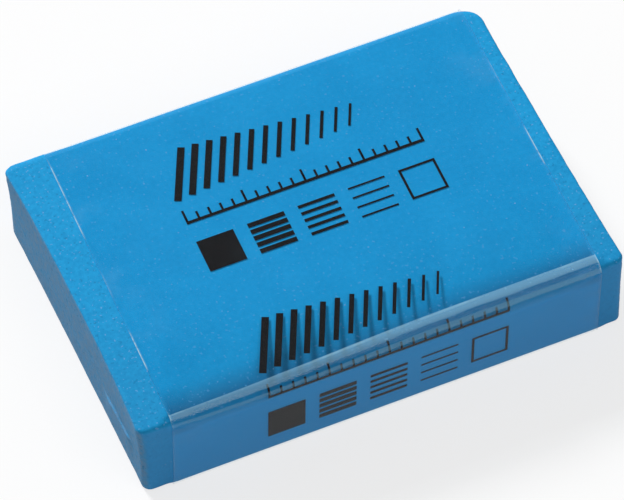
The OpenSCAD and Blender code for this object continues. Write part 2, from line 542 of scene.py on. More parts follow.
@dataclass
class FilmSleeve:
    """The clear film: one strip, wound round the block at a slight skew and lapped underneath."""

    winding: Winding
    wall: float = 0.04
    left_edge: float = -18.3
    right_edge: float = 19.9
    lap_width: float = 6.0
    slit: float = 0.06
    panel_step: float = 0.4
    turn_steps: int = 20
    column_step: float = 0.55
    edge_columns: tuple[float, ...] = (0.0, 0.05, 0.1, 0.16, 0.3)
    turn_drift: Span = (0.12, 0.45)
    drift_reach: Span = (-15.0, 8.0)
    left_tightness: float = 0.35
    left_loosening: float = 9.0
    tight_shift: float = 0.2
    glint_width: Span = (0.06, 0.13)
    glint_fade: float = 0.8
    least_steps: int = 6
    same_length: float = 1e-6
    sharp_degrees: float = 40.0
    # stretches of the cut edges that take a painted glint
    glints: tuple[Glint, ...] = (
        Glint(End.LEFT, -14.1, -4.8, 0.75),
        Glint(End.LEFT, -1.6, 1.9, 0.2),
        Glint(End.LEFT, 5.0, 9.7, 0.85),
        Glint(End.LEFT, 13.8, 15.6, 0.45),
        Glint(End.LEFT, 16.4, 22.0, 0.07),
        Glint(End.RIGHT, -8.8, -4.8, 0.25),
        Glint(End.RIGHT, -1.2, 3.8, 0.8),
        Glint(End.RIGHT, 13.4, 15.7, 0.5),
        Glint(End.RIGHT, 16.3, 21.5, 0.12),
    )

    def girth_rows(self) -> np.ndarray:
        """Rows of the flat strip, as distances round the girth: close on the turns and at the joggle."""
        w = self.winding
        side_start = w.flat_half + w.top_turn
        marks = [w.flat_half, side_start, side_start + w.side, w.under_start]
        first = -(w.mid_under - w.seam_place - self.slit / 2)
        last = w.mid_under + w.seam_place + self.lap_width
        stations = sorted([first, *[-m for m in marks], *marks, w.mid_under + w.seam_place - w.joggle,
                           w.mid_under + w.seam_place, last])
        rows: list[float] = []
        for start, stop in zip(stations[:-1], stations[1:]):
            length = stop - start
            on_turn = min(abs(length - w.top_turn), abs(length - w.under_turn)) < self.same_length
            steps = self.turn_steps if on_turn else max(round(length / self.panel_step), self.least_steps)
            rows.extend(np.linspace(start, stop, steps, endpoint=False))
        return np.array([*rows, last])

    def columns(self) -> np.ndarray:
        """Columns of the flat strip along X, closest at both cut edges."""
        near = np.array(self.edge_columns)
        left, right = self.left_edge + near, self.right_edge - near[::-1]
        steps = round((right[0] - left[-1]) / self.column_step)
        return np.concatenate([left, np.linspace(left[-1], right[0], steps + 1)[1:-1], right])

    def glint_strength(self, x: np.ndarray, girth: np.ndarray) -> np.ndarray:
        """How strongly each vertex of the flat strip takes the painted glint.

        Args:
            x: The vertices' places along the block.
            girth: Their distances round the girth.

        Returns:
            A share from 0 to 1.
        """
        bright = np.zeros(len(x))
        for glint in self.glints:
            edge = self.left_edge if glint.end is End.LEFT else self.right_edge
            close = 1 - smooth_step(np.abs(x - edge), *self.glint_width)
            along = smooth_step(girth, glint.start, glint.start + self.glint_fade) \
                * (1 - smooth_step(girth, glint.stop - self.glint_fade, glint.stop))
            bright = np.maximum(bright, glint.strength * close * along)
        return bright

    def flat_strip(self) -> bpy.types.Object:
        """Makes the strip on the flat, as a closed slab of the film's thickness.

        Returns:
            The piece, with the attributes that its material reads.
        """
        columns, rows = self.columns(), self.girth_rows()
        across, along = len(columns), len(rows)
        x, girth = (a.ravel() for a in np.meshgrid(columns, rows))
        outer = np.stack([x, -girth, np.zeros(len(x))], 1)
        inner = outer - [0, 0, self.wall]
        count = len(outer)

        def at(row: int, column: int, layer: int = 0) -> int:
            """Index of a vertex of the strip."""
            return layer * count + row * across + column

        faces, rim = [], []
        for r in range(along - 1):
            for c in range(across - 1):
                quad = (at(r, c), at(r + 1, c), at(r + 1, c + 1), at(r, c + 1))
                faces.append(quad)
                faces.append(tuple(i + count for i in reversed(quad)))
                rim.extend((False, False))
        border = [(at(0, c), at(0, c + 1)) for c in range(across - 1)]
        border += [(at(r, across - 1), at(r + 1, across - 1)) for r in range(along - 1)]
        border += [(at(along - 1, c + 1), at(along - 1, c)) for c in reversed(range(across - 1))]
        border += [(at(r + 1, 0), at(r, 0)) for r in reversed(range(along - 1))]
        for a, b in border:
            faces.append((a, b, b + count, a + count))
            rim.append(True)

        strip = new_piece("film_sleeve_clear", np.concatenate([outer, inner]), faces)
        strip.data.attributes.new("rim", "BOOLEAN", "FACE").data.foreach_set("value", rim)
        store(strip, "outer_face", np.repeat([1.0, 0.0], count))
        # how strongly the painted glint shows at each vertex
        store(strip, "edge_glint", np.tile(self.glint_strength(x, girth), 2))
        # where the film's turns start, which places the painted highlight bands
        tight = self.left_tightness * np.exp(-(x - self.left_edge) / self.left_loosening)
        late, early = self.turn_drift
        drift = smooth_step(x, *self.drift_reach) * (late + early) - late
        from_turn = girth - self.winding.flat_half + drift
        store(strip, "from_turn", np.tile((from_turn - self.tight_shift * tight) / (1 - tight), 2))
        store(strip, "from_rear_turn", np.tile(-girth - self.winding.flat_half, 2))
        store(strip, "edge_distance", np.tile(np.minimum(x - self.left_edge, self.right_edge - x), 2) * MM)
        return strip

    def build(self, winding_tree: bpy.types.NodeTree, film: "FilmFinish") -> bpy.types.Object:
        """Makes the film and hangs it on the part.

        Args:
            winding_tree: The tree that winds flat work round the girth.
            film: Its finish.

        Returns:
            The finished piece.
        """
        strip = self.flat_strip()
        board, flat, sizes = new_geometry_tree("wind_film", list(self.winding.values))
        wound = self.winding.wind(board, winding_tree, flat, sizes)
        solid = board.node("GeometryNodeRealizeInstances", {0: wound})
        clear = board.node(
            "GeometryNodeSetMaterial", {"Geometry": solid.outputs[0], "Material": film.clear()})
        rim = board.node("GeometryNodeInputNamedAttribute", {"Name": "rim"}, data_type="BOOLEAN")
        edged = board.node(
            "GeometryNodeSetMaterial",
            {"Geometry": clear.outputs[0], "Selection": rim.outputs[0], "Material": film.cut_edge()},
        )
        board.node("NodeGroupOutput", {0: edged.outputs[0]})
        grow(strip, board, self.winding.values)
        strip.data.set_sharp_from_angle(angle=math.radians(self.sharp_degrees))
        settle(strip, Slot.CLEAR_FILM, "film_sleeve")
        return strip


@dataclass(frozen=True)
class FilmFinish:
    """Clear packing film: see-through, with a soft gloss and a little haze, and painted highlights on its
    turns and painted glints on its cut edges, laid on as a milky layer.
    """

    tint: Colour = (0.97, 0.995, 1.0)
    gloss: Colour = (1.0, 1.0, 1.0)
    mirror: float = 0.02
    roughness: float = 0.1
    haze: Colour = (0.43, 0.79, 1.0)
    base_haze: float = 0.002
    patch_haze: float = 0.05
    # how strongly the painted highlight bands show along the turns
    turn_highlight: float = 0.3
    turn_band: Span = (0.0, 0.86)
    foot_band: Span = (1.32, 1.78)
    foot_share: Span = (0.5, 0.95)
    foot_reach: Span = (-15.0, 8.0)
    brow_band: Span = (0.02, 0.2)
    brow_share: float = 0.5
    rear_band: Span = (0.0, 0.6)
    rear_share: float = 0.08
    band_easing: Span = (0.03, 0.09)
    # the painted glint: its share, tone, whitening and breaks
    glint_haze: float = 0.8
    glint_tone: Colour = (0.55, 0.86, 1.0)
    glint_whitening: float = 1.6
    glint_breaks: Mottle = Mottle(0.9, (0.3, 0.55), shares=(0.35, 1.0))
    brow_breaks: Mottle = Mottle(2.4, (0.45, 0.65), 3.0)
    patches: Mottle = Mottle(3.4, (0.46, 0.74), 3.0, 0.6)
    patch_reach: Span = (0.2, 4.2)
    inner_patches: float = 0.12
    wander_period: float = 3.2
    wander_reach: float = 0.3
    brow_wander: float = 0.3
    bump_period: float = 1.6
    bump_strength: float = 0.1
    bump_height: float = 0.01
    grazing_power: float = 5.0
    edge_tones: tuple[Colour, Colour] = ((0.16, 0.50, 0.74), (0.40, 0.70, 0.88))
    edge_period: float = 1.2
    edge_roughness: float = 0.35

    def band(self, board: Board, name: str, reach: Span, wander: Field) -> Field:
        """A band along a long edge, where the film stands off the putty: a painted highlight, laid on as
        milky haze.

        Args:
            board: The material's board.
            name: The attribute that holds the distance from where the film starts to turn.
            reach: Where along it the band starts and stops.
            wander: By how much the far side of the band strays.

        Returns:
            The band, from 0 to 1, crisp on its near side and soft on its far side.
        """
        along = board.attribute(name)
        crisp, soft = self.band_easing
        return board.ramp(along, reach[0] - crisp, reach[0] + crisp) \
            * board.ramp(along + wander, reach[1] - soft, reach[1] + soft, 1.0, 0.0)

    def clear(self) -> bpy.types.Material:
        """The film's faces: a milky layer over them holds the haze, the painted highlights and the painted
        glints.
        """
        made, board, output = new_material("clear_packing_film")
        place = board.place()
        outer = board.attribute("outer_face")
        seen = board.node("ShaderNodeBsdfTransparent", {"Color": self.tint})
        grain = board.noise(place, self.bump_period, 3.0)
        bump = board.node(
            "ShaderNodeBump",
            {"Strength": self.bump_strength, "Distance": self.bump_height * MM, "Height": grain},
        )
        shine = board.node(
            "ShaderNodeBsdfGlossy",
            {"Color": self.gloss, "Roughness": self.roughness, "Normal": bump.outputs[0]},
        )
        weight = board.node("ShaderNodeLayerWeight", {"Blend": 0.5, "Normal": bump.outputs[0]})
        edge_on = weight.outputs["Facing"]
        mirror = board.maths("POWER", edge_on, self.grazing_power) * (1 - self.mirror) + self.mirror
        glazed = board.node(
            "ShaderNodeMixShader", {0: mirror * outer, 1: seen.outputs[0], 2: shine.outputs[0]}
        )
        near, far = (reach * MM for reach in self.patch_reach)
        near_edge = board.ramp(board.attribute("edge_distance"), near, far, 1.0, self.inner_patches)
        cloud = self.patches.over(board, place) * near_edge
        wander = (board.noise(place, self.wander_period) - 0.5) * self.wander_reach
        broken = self.brow_breaks.over(board, place)
        along = board.node("ShaderNodeSeparateXYZ", {0: place}).outputs[0]
        foot = board.ramp(along, self.foot_reach[0] * MM, self.foot_reach[1] * MM, *self.foot_share)
        # painted highlights along the turns: the front turn's band with its foot and brow, and the rear
        # turn's band
        brow = self.band(board, "from_turn", self.brow_band, wander * self.brow_wander)
        turned = self.band(board, "from_turn", self.turn_band, wander) \
            + self.band(board, "from_turn", self.foot_band, wander) * foot \
            + brow * broken * self.brow_share
        rear = self.band(board, "from_rear_turn", self.rear_band, wander) * self.rear_share
        # painted glint along stretches of the cut edges
        glint = board.attribute("edge_glint") * self.glint_breaks.over(board, place)
        # the milky layer's share: haze in patches, plus the painted highlights and glints
        haze = cloud * self.patch_haze + (turned + rear) * self.turn_highlight + glint * self.glint_haze \
            + self.base_haze
        whitening = board.maths("MULTIPLY", glint, self.glint_whitening, clamp=True)
        tone = board.blend(whitening, self.haze, self.glint_tone)
        # milky layer that carries the haze, the painted highlights and the painted glints
        milk = board.node("ShaderNodeBsdfDiffuse", {"Color": tone})
        hazed = board.node(
            "ShaderNodeMixShader",
            {0: board.maths("MULTIPLY", haze, outer, clamp=True), 1: glazed.outputs[0], 2: milk.outputs[0]},
        )
        board.feed(output.inputs["Surface"], hazed.outputs[0])
        return made

    def cut_edge(self) -> bpy.types.Material:
        """The film's cut edges, which look milky end-on."""
        made, board, output = new_material("film_cut_edge")
        place = board.place()
        tone = board.blend(board.noise(place, self.edge_period), *self.edge_tones)
        board.feed(output.inputs["Surface"], board.solid(tone, self.edge_roughness))
        return made


# ---------------------------------------------------------------- print


@dataclass(frozen=True)
class RuledRow:
    """A row of equal or evenly fading bars, the one shape that the print is made of.

    Places are measured from the motif's middle, on the flat.
    """

    count: int
    start: Span
    pitch: Span
    bar: Span
    slant_degrees: float = 0.0
    last_share: Span = (1.0, 1.0)
    step: float = 0.3

    def cells(self, length: float) -> int:
        """How many vertices a bar has along a side of some length."""
        return max(math.ceil(length / self.step), 1) + 1


class Swatch(Enum):
    """The tones of the test scale, as (bars, thickness of a bar); the last one is an empty frame."""

    SOLID = (1, 3.3)
    DENSE = (5, 0.46)
    EVEN = (5, 0.3)
    LIGHT = (4, 0.17)
    FRAME = (0, 0.22)


@dataclass
class TonePrint:
    """The black print on the film's inner face: pencil strokes, a ruled scale and tone swatches."""

    winding: Winding
    film_wall: float = 0.04
    ink_gap: float = 0.003
    ink_thickness: float = 0.006
    first_repeat: float = 23.33
    repeat_pitch: float = 19.05
    repeats: int = 4
    middle: float = 0.85
    swatch_size: float = 3.3
    swatch_pitch: float = 4.55
    swatch_foot: float = -6.6
    scale_foot: float = -1.2
    scale_line: float = 0.3
    scale_parts: int = 20
    coarse_parts: int = 4
    tick_width: float = 0.2
    tick_height: float = 0.7
    coarse_tick_height: float = 1.2
    tick_lift: float = 0.5
    coarse_tick_lift: float = 0.75
    stroke_count: int = 13
    stroke_foot: Span = (1.3, 3.8)
    stroke_pitch: float = 1.2
    stroke_size: Span = (0.62, 5.6)
    stroke_slant: float = -24.0
    last_stroke: Span = (0.34, 0.42)

    def swatch_rows(self, index: int, tone: Swatch) -> list[RuledRow]:
        """The rows of bars that make one swatch.

        Args:
            index: Its place in the row of swatches, from 0.
            tone: Its tone.

        Returns:
            The rows.
        """
        size = self.swatch_size
        left = (index - (len(Swatch) - 1) / 2) * self.swatch_pitch - size / 2
        middle = (left + size / 2, self.swatch_foot + size / 2)
        bars, thickness = tone.value
        if tone is Swatch.FRAME:
            inset = size - thickness
            return [
                RuledRow(2, (middle[0], self.swatch_foot + thickness / 2), (0, inset), (size, thickness)),
                RuledRow(
                    2, (left + thickness / 2, middle[1]), (inset, 0), (thickness, size - 2 * thickness)),
            ]
        pitch = (size - thickness) / max(bars - 1, 1)
        start = middle[1] if bars == 1 else self.swatch_foot + thickness / 2
        return [RuledRow(bars, (middle[0], start), (0, pitch), (size, thickness))]

    def rows(self) -> list[RuledRow]:
        """Every row of the motif."""
        wide = self.swatch_pitch * (len(Swatch) - 1) + self.swatch_size
        rows = [row for i, tone in enumerate(Swatch) for row in self.swatch_rows(i, tone)]
        left = -wide / 2

        def ticks(parts: int, lift: float, height: float) -> RuledRow:
            """The ticks that divide the scale into so many parts."""
            start = (left + self.tick_width / 2, self.scale_foot + lift)
            pitch = (wide - self.tick_width) / parts
            return RuledRow(parts + 1, start, (pitch, 0), (self.tick_width, height))

        rows += [
            RuledRow(1, (0, self.scale_foot), (0, 0), (wide, self.scale_line)),
            ticks(self.scale_parts, self.tick_lift, self.tick_height),
            ticks(self.coarse_parts, self.coarse_tick_lift, self.coarse_tick_height),
            RuledRow(
                self.stroke_count, (left + self.stroke_foot[0], self.stroke_foot[1]),
                (wide / self.scale_parts * self.stroke_pitch, 0.0), self.stroke_size, self.stroke_slant,
                self.last_stroke),
        ]
        return rows

    def bar_tree(self) -> bpy.types.NodeTree:
        """Builds the group that lays one row of bars on the flat."""
        numbers = [f"{size} {way}" for size in ("Start", "Pitch", "Bar", "Last") for way in "XY"]
        numbers += ["Slant", "Depth", "Thickness"]
        board, _, value = new_geometry_tree("ruled_row", numbers, ["Count", "Cells X", "Cells Y"])
        line = board.node(
            "GeometryNodeMeshLine",
            {
                "Count": value["Count"],
                "Start Location": board.vector(value["Start X"], value["Start Y"], value["Depth"]),
                "Offset": board.vector(value["Pitch X"], value["Pitch Y"], 0.0),
            },
        )
        bar = board.node(
            "GeometryNodeMeshCube",
            {
                "Size": board.vector(value["Bar X"], value["Bar Y"], value["Thickness"]),
                "Vertices X": value["Cells X"],
                "Vertices Y": value["Cells Y"],
            },
        )
        index = Field(board, board.node("GeometryNodeInputIndex").outputs[0])
        along = index / (value["Count"] - 1.0).most(1.0)
        shrunk = (1.0 - along * (1.0 - value[f"Last {way}"]) for way in "XY")
        placed = board.node(
            "GeometryNodeInstanceOnPoints",
            {
                "Points": line.outputs[0],
                "Instance": bar.outputs[0],
                "Rotation": board.vector(0.0, 0.0, value["Slant"]),
                "Scale": board.vector(*shrunk, 1.0),
            },
        )
        board.node("NodeGroupOutput", {0: placed.outputs[0]})
        return board.tree

    def build(self, winding_tree: bpy.types.NodeTree, ink: "InkFinish") -> bpy.types.Object:
        """Draws the motif, repeats it up the strip, and winds it round the girth.

        Args:
            winding_tree: The tree that winds flat work round the girth.
            ink: The print's finish.

        Returns:
            The finished piece.
        """
        own = ["Repeat Pitch", "First Repeat", "Middle"]
        board, _, value = new_geometry_tree("tone_print", [*self.winding.values, *own], ["Repeats"])
        bars = self.bar_tree()
        joined = board.node("GeometryNodeJoinGeometry")
        for row in self.rows():
            sizes = {
                "Slant": math.radians(row.slant_degrees),
                "Depth": -(self.film_wall + self.ink_gap + self.ink_thickness / 2) * MM,
                "Thickness": self.ink_thickness * MM,
                "Count": row.count,
            }
            for i, way in enumerate("XY"):
                sizes[f"Start {way}"] = row.start[i] * MM
                sizes[f"Pitch {way}"] = row.pitch[i] * MM
                sizes[f"Bar {way}"] = row.bar[i] * MM
                sizes[f"Last {way}"] = row.last_share[i]
                sizes[f"Cells {way}"] = row.cells(row.bar[i])
            laid = board.node("GeometryNodeGroup", sizes, node_tree=bars)
            board.feed(joined.inputs[0], laid.outputs[0])
        column = board.node(
            "GeometryNodeMeshLine",
            {
                "Count": value["Repeats"],
                "Start Location": board.vector(value["Middle"], value["First Repeat"]),
                "Offset": board.vector(0.0, value["Repeat Pitch"] * -1.0),
            },
        )
        repeated = board.node(
            "GeometryNodeInstanceOnPoints", {"Points": column.outputs[0], "Instance": joined.outputs[0]}
        )
        solid = board.node("GeometryNodeRealizeInstances", {0: repeated.outputs[0]})
        wound = self.winding.wind(board, winding_tree, solid.outputs[0], value)
        inked = board.node("GeometryNodeSetMaterial", {"Geometry": wound, "Material": ink.material()})
        board.node("NodeGroupOutput", {0: inked.outputs[0]})

        printed = new_piece("film_print", np.zeros((1, 3)), [])
        sizes = {
            "Repeat Pitch": self.repeat_pitch * MM, "First Repeat": self.first_repeat * MM,
            "Middle": self.middle * MM, "Repeats": self.repeats,
        }
        grow(printed, board, {**self.winding.values, **sizes})
        settle(printed, Slot.CLEAR_FILM)
        return printed


@dataclass(frozen=True)
class InkFinish:
    """Black printing ink, a touch thin in places."""

    deep: Colour = (0.003, 0.002, 0.003)
    thin: Colour = (0.010, 0.006, 0.008)
    roughness: float = 0.5
    ior: float = 1.4
    gloss: float = 0.1
    thinning: Mottle = Mottle(0.35, (0.45, 0.75), 3.0)

    def material(self) -> bpy.types.Material:
        """The ink's material."""
        made, board, output = new_material("black_ink")
        place = board.place()
        tone = board.blend(self.thinning.over(board, place), self.deep, self.thin)
        ink = board.solid(tone, self.roughness, self.ior, {"Specular IOR Level": self.gloss})
        board.feed(output.inputs["Surface"], ink)
        return made


# ---------------------------------------------------------------- putty block


@dataclass(frozen=True)
class PlanCorner:
    """One corner of the block in plan: its side in X and in Y, its radius, and its first angle."""

    x_side: int
    y_side: int
    radius: float
    first_angle: float


@dataclass(frozen=True)
class CutEnd:
    """How a die-cut end leans: the flare of its top corners and the dish between its corners."""

    flare: float
    dish: float


class Pattern(Enum):
    """The noise patterns of the putty's relief, as (feature size along X, Y and Z, shift)."""

    LUMPS = ((1.3, 1.3, 1.3), 0.0)
    GRAIN = ((0.45, 0.45, 0.45), 40.0)
    WAVES = ((5.0, 5.0, 5.0), 9.0)
    DRAG = ((1.0, 4.5, 0.42), 17.0)
    CHIPS = ((2.0, 1.7, 2.0), 63.0)


@dataclass(frozen=True)
class SkinRelief:
    """Depths of the putty's relief: bare, pressed by the film, sliced at the ends, chipped at their rims."""

    bare_lumps: float = 0.014
    bare_grain: float = 0.012
    pressed_in: float = 0.024
    pressed_waves: float = 0.012
    pressed_grain: float = 0.004
    sliced_in: float = 0.03
    sliced_drag: float = 0.02
    sliced_grain: float = 0.012
    sliced_lumps: float = 0.008
    chip_depth: float = 0.03
    chip_slope: float = 0.2
    chip_height: float = 0.9
    foot_forward: Span = (14.3, 14.9)
    foot_height: Span = (0.4, 1.6)
    foot_share: float = 0.9


@dataclass(frozen=True)
class CutterLedge:
    """The ledge that the cutter left on the left end: its line, its ends along Y, and its lower lip."""

    height: float = 3.75
    slope: float = 0.06
    level_at: float = -6.8
    sway: float = 0.05
    sway_rate: float = 1.9
    front_end: Span = (-12.9, -11.6)
    back_end: Span = (-8.0, -6.3)
    crispness: float = 0.05
    lip_reach: float = 1.6
    lip: float = 0.17
    slope_limit: float = -0.6


@dataclass(frozen=True)
class FrontShade:
    """Painted shade on the putty: near the front edge where it lies sunk under the film, and on the bare
    ends towards the front.
    """

    sunk: float = 0.95
    sunk_forward: Span = (11.0, 14.6)
    relieved: float = 0.65
    relieved_forward: Span = (13.8, 14.8)
    sunk_below_roof: Span = (1.95, 1.5)
    bare_end_shade: float = 0.22
    bare_end_shade_forward: Span = (-2.0, 15.0)
    bare_end_shade_rise: Span = (0.4, 0.8)


@dataclass
class PuttyBlock:
    """The block of putty: a fine skin on the part's own rules, with the relief of soft putty."""

    sleeve: FilmSleeve
    length: float = 43.4
    half_width: float = 15.13
    floor: float = 0.11
    roof: float = 8.43
    ends: dict[End, CutEnd] = field(
        default_factory=lambda: {End.LEFT: CutEnd(0.3, 0.06), End.RIGHT: CutEnd(0.1, 0.04)}
    )
    corners: tuple[PlanCorner, ...] = (
        PlanCorner(1, -1, 0.8, -90.0),
        PlanCorner(1, 1, 2.3, 0.0),
        PlanCorner(-1, 1, 1.25, 90.0),
        PlanCorner(-1, -1, 0.8, 180.0),
    )
    top_snug_radius: float = 1.03
    under_snug_radius: float = 0.25
    end_radius: float = 0.2
    front_slump: Span = (1.0, 10.0)
    front_round: Span = (0.5, 1.4)
    back_slump: Span = (0.1, 3.0)
    under_slump: Span = (0.04, 2.4)
    front_sag: Span = (0.05, 2.4)
    least_edge: float = 0.45
    least_radius: float = 0.3
    slump_curve: float = 2.0
    press_fade: Span = (-3.0, 0.35)
    round_fade: Span = (-0.3, 0.9)
    bare_rise: Span = (0.12, 1.0)
    flare_rise: float = 3.5
    end_sweep: float = 3.0
    end_fade: float = 4.0
    corner_steps: int = 8
    long_steps: int = 172
    end_steps: int = 116
    edge_steps: int = 5
    cap_inset: float = 1.2
    cap_rings: int = 5
    ledge_heights: Span = (0.40, 0.56)
    wall_steps: tuple[int, int, int] = (12, 20, 13)
    relief_depths: SkinRelief = SkinRelief()
    ledge: CutterLedge = CutterLedge()
    # where the painted shade falls
    shading: FrontShade = FrontShade()
    cut_turn: Span = (0.35, 0.8)
    upright_turn: Span = (0.35, 0.75)
    film_easing: float = 0.3
    film_end_turn: Span = (0.5, 0.8)
    level_turn: float = 0.6
    box_clearance: float = 0.004

    def _per_end(self, x: np.ndarray, value: Callable[[End], float]) -> np.ndarray:
        """A value that each end has, at places along X."""
        return np.where(x > 0, value(End.RIGHT), value(End.LEFT))

    def _foot_reach(self, end: End) -> float:
        """How far the foot of an end lies from mid-length."""
        return self.length / 2 - self.ends[end].flare

    def _corner_reach(self, end: End) -> float:
        """How far an end's outermost points lie from mid-width."""
        return self.half_width - min(c.radius for c in self.corners if c.x_side == end.value)

    @property
    def under_edges(self) -> np.ndarray:
        """Edge radii below: front, back, ends."""
        long_edge = self.under_snug_radius - self.under_slump[0]
        return np.array([long_edge, long_edge, self.end_radius])

    @property
    def top_edges(self) -> np.ndarray:
        """Edge radii on top: front, back, ends."""
        slumps = (self.front_slump, self.back_slump)
        front, back = (max(self.top_snug_radius - s[0], self.least_edge) for s in slumps)
        return np.array([front, back, self.end_radius])

    def plan_ring(self, insets: np.ndarray) -> np.ndarray:
        """The plan outline at its insets.

        Args:
            insets: How far it lies in at the front, the back and the ends.

        Returns:
            Its points, anticlockwise, as [x, y, edge radius below, edge radius on top].
        """
        arcs = []
        for corner in self.corners:
            side = 0 if corner.y_side < 0 else 1
            rx = max(corner.radius - insets[2], self.least_radius)
            ry = max(corner.radius - insets[side], self.least_radius)
            cx = corner.x_side * (self._foot_reach(End(corner.x_side)) - insets[2] - rx)
            cy = corner.y_side * (self.half_width - insets[side] - ry)
            a = np.radians(corner.first_angle + np.linspace(0, 90, self.corner_steps + 1))
            turn = np.cos(a) ** 2
            under = self.under_edges[side] + (self.under_edges[2] - self.under_edges[side]) * turn
            top = self.top_edges[side] + (self.top_edges[2] - self.top_edges[side]) * turn
            arcs.append(np.stack([cx + rx * np.cos(a), cy + ry * np.sin(a), under, top], 1))
        ring = []
        for k, arc in enumerate(arcs):
            steps = self.end_steps if k % 2 == 0 else self.long_steps
            ring += [arc, np.linspace(arc[-1], arcs[(k + 1) % 4][0], steps + 1)[1:-1]]
        return np.concatenate(ring)

    def lean(self, x: np.ndarray, y: np.ndarray, high: float | np.ndarray) -> np.ndarray:
        """How far the ends lean along X, where high runs from 0 at the foot to 1 at the top."""
        sweep = np.minimum(np.abs(y) / self._per_end(x, self._corner_reach), 1) ** self.end_sweep
        fade = np.minimum(np.abs(x) / self._per_end(x, self._foot_reach), 1) ** self.end_fade
        flare = self._per_end(x, lambda e: self.ends[e].flare)
        dish = self._per_end(x, lambda e: self.ends[e].dish)
        return np.sign(x) * fade * (flare * high**self.flare_rise * sweep - dish * (1 - sweep))

    def _pressed(self, x: np.ndarray, y: np.ndarray, fade: Span) -> np.ndarray:
        """The share to which the film presses the block: whole under it, and gone on the bare ends."""
        along = x - y * math.tan(math.radians(self.sleeve.winding.skew_degrees))
        past = np.maximum(self.sleeve.left_edge - along, along - self.sleeve.right_edge)
        return 1 - smooth_step(past, *fade)

    def _slump(self, slump: Span, from_edge: np.ndarray) -> np.ndarray:
        """A soft curve from its depth at a long edge to nothing at its reach."""
        return slump[0] * np.maximum(1 - from_edge / slump[1], 0) ** self.slump_curve

    def top_at(self, x: np.ndarray, y: np.ndarray) -> np.ndarray:
        """Height of the top at places in plan."""
        slumped = self._slump(self.front_slump, self.half_width + y) \
            + self._slump(self.back_slump, self.half_width - y)
        rounded = self._slump(self.front_round, self.half_width + y)
        return self.roof - self._pressed(x, y, self.press_fade) * slumped \
            - self._pressed(x, y, self.round_fade) * rounded

    def under_at(self, x: np.ndarray, y: np.ndarray) -> np.ndarray:
        """Height of the underside at places in plan."""
        drawn_up = self._slump(self.under_slump, self.half_width - y) \
            - self._slump(self.front_sag, self.half_width + y)
        cut_back = self._slump(self.bare_rise, self.half_width + y) \
            + self._slump(self.bare_rise, self.half_width - y)
        pressed = self._pressed(x, y, self.round_fade)
        return self.floor + pressed * drawn_up + (1 - pressed) * cut_back

    def skin_ring(self, insets: np.ndarray, high: float, raised: float, lowered: float) -> np.ndarray:
        """A ring of the skin.

        Args:
            insets: How far it lies in at the front, the back and the ends.
            high: Its share of the way from the underside to the top.
            raised: The share of the lower edge radius by which it is raised.
            lowered: The share of the upper edge radius by which it is lowered.

        Returns:
            Its points.
        """
        p = self.plan_ring(insets)
        low = self.under_at(p[:, 0], p[:, 1]) + raised * p[:, 2]
        top = self.top_at(p[:, 0], p[:, 1]) - lowered * p[:, 3]
        return np.stack([p[:, 0] + self.lean(p[:, 0], p[:, 1], high), p[:, 1], low + (top - low) * high], 1)

    def skin_rings(self) -> list[np.ndarray]:
        """The rings from the rim of the underside's cap, up the wall, to the rim of the top's cap."""
        cap, wall = np.full(3, self.cap_inset), np.zeros(3)
        quarter = np.radians(90 * np.arange(self.edge_steps + 1) / self.edge_steps)
        inward, downward = 1 - np.cos(quarter), 1 - np.sin(quarter)
        low, high = self.ledge_heights
        below, close, above = self.wall_steps
        heights = np.concatenate(
            [np.linspace(0, low, below, endpoint=False), np.linspace(low, high, close, endpoint=False),
             np.linspace(high, 1, above)])
        rings = [
            self.skin_ring(cap + (self.under_edges - cap) * i / self.cap_rings, 0, 0, 0)
            for i in range(self.cap_rings)
        ]
        for i in range(self.edge_steps, 0, -1):
            rings.append(self.skin_ring(self.under_edges * inward[i], 0, downward[i], 0))
        rings += [self.skin_ring(wall, h, 1, 1) for h in heights]
        for i in range(1, self.edge_steps + 1):
            rings.append(self.skin_ring(self.top_edges * inward[i], 1, 0, downward[i]))
        for i in range(1, self.cap_rings + 1):
            inset = self.top_edges + (cap - self.top_edges) * i / self.cap_rings
            rings.append(self.skin_ring(inset, 1, 0, 0))
        return rings

    def cap_plan(self) -> np.ndarray:
        """The plan of a cap, as a grid of [x, y] spanned between the four sides of its rim."""
        ring = self.plan_ring(np.full(3, self.cap_inset))[:, :2]
        start = self.corner_steps // 2
        ny, nx = self.corner_steps + self.end_steps, self.corner_steps + self.long_steps
        loop = np.concatenate([np.roll(ring, -start, 0), ring[start:start + 1]])
        right, rest = loop[: ny + 1], loop[ny:]
        back, rest = rest[: nx + 1][::-1], rest[nx:]
        left, front = rest[: ny + 1][::-1], rest[ny:]
        u = np.linspace(0, 1, nx + 1)[:, None, None]
        v = np.linspace(0, 1, ny + 1)[None, :, None]
        sides = (1 - v) * front[:, None] + v * back[:, None] + (1 - u) * left[None] + u * right[None]
        square = (1 - u) * ((1 - v) * front[0] + v * back[0]) + u * ((1 - v) * front[-1] + v * back[-1])
        return sides - square

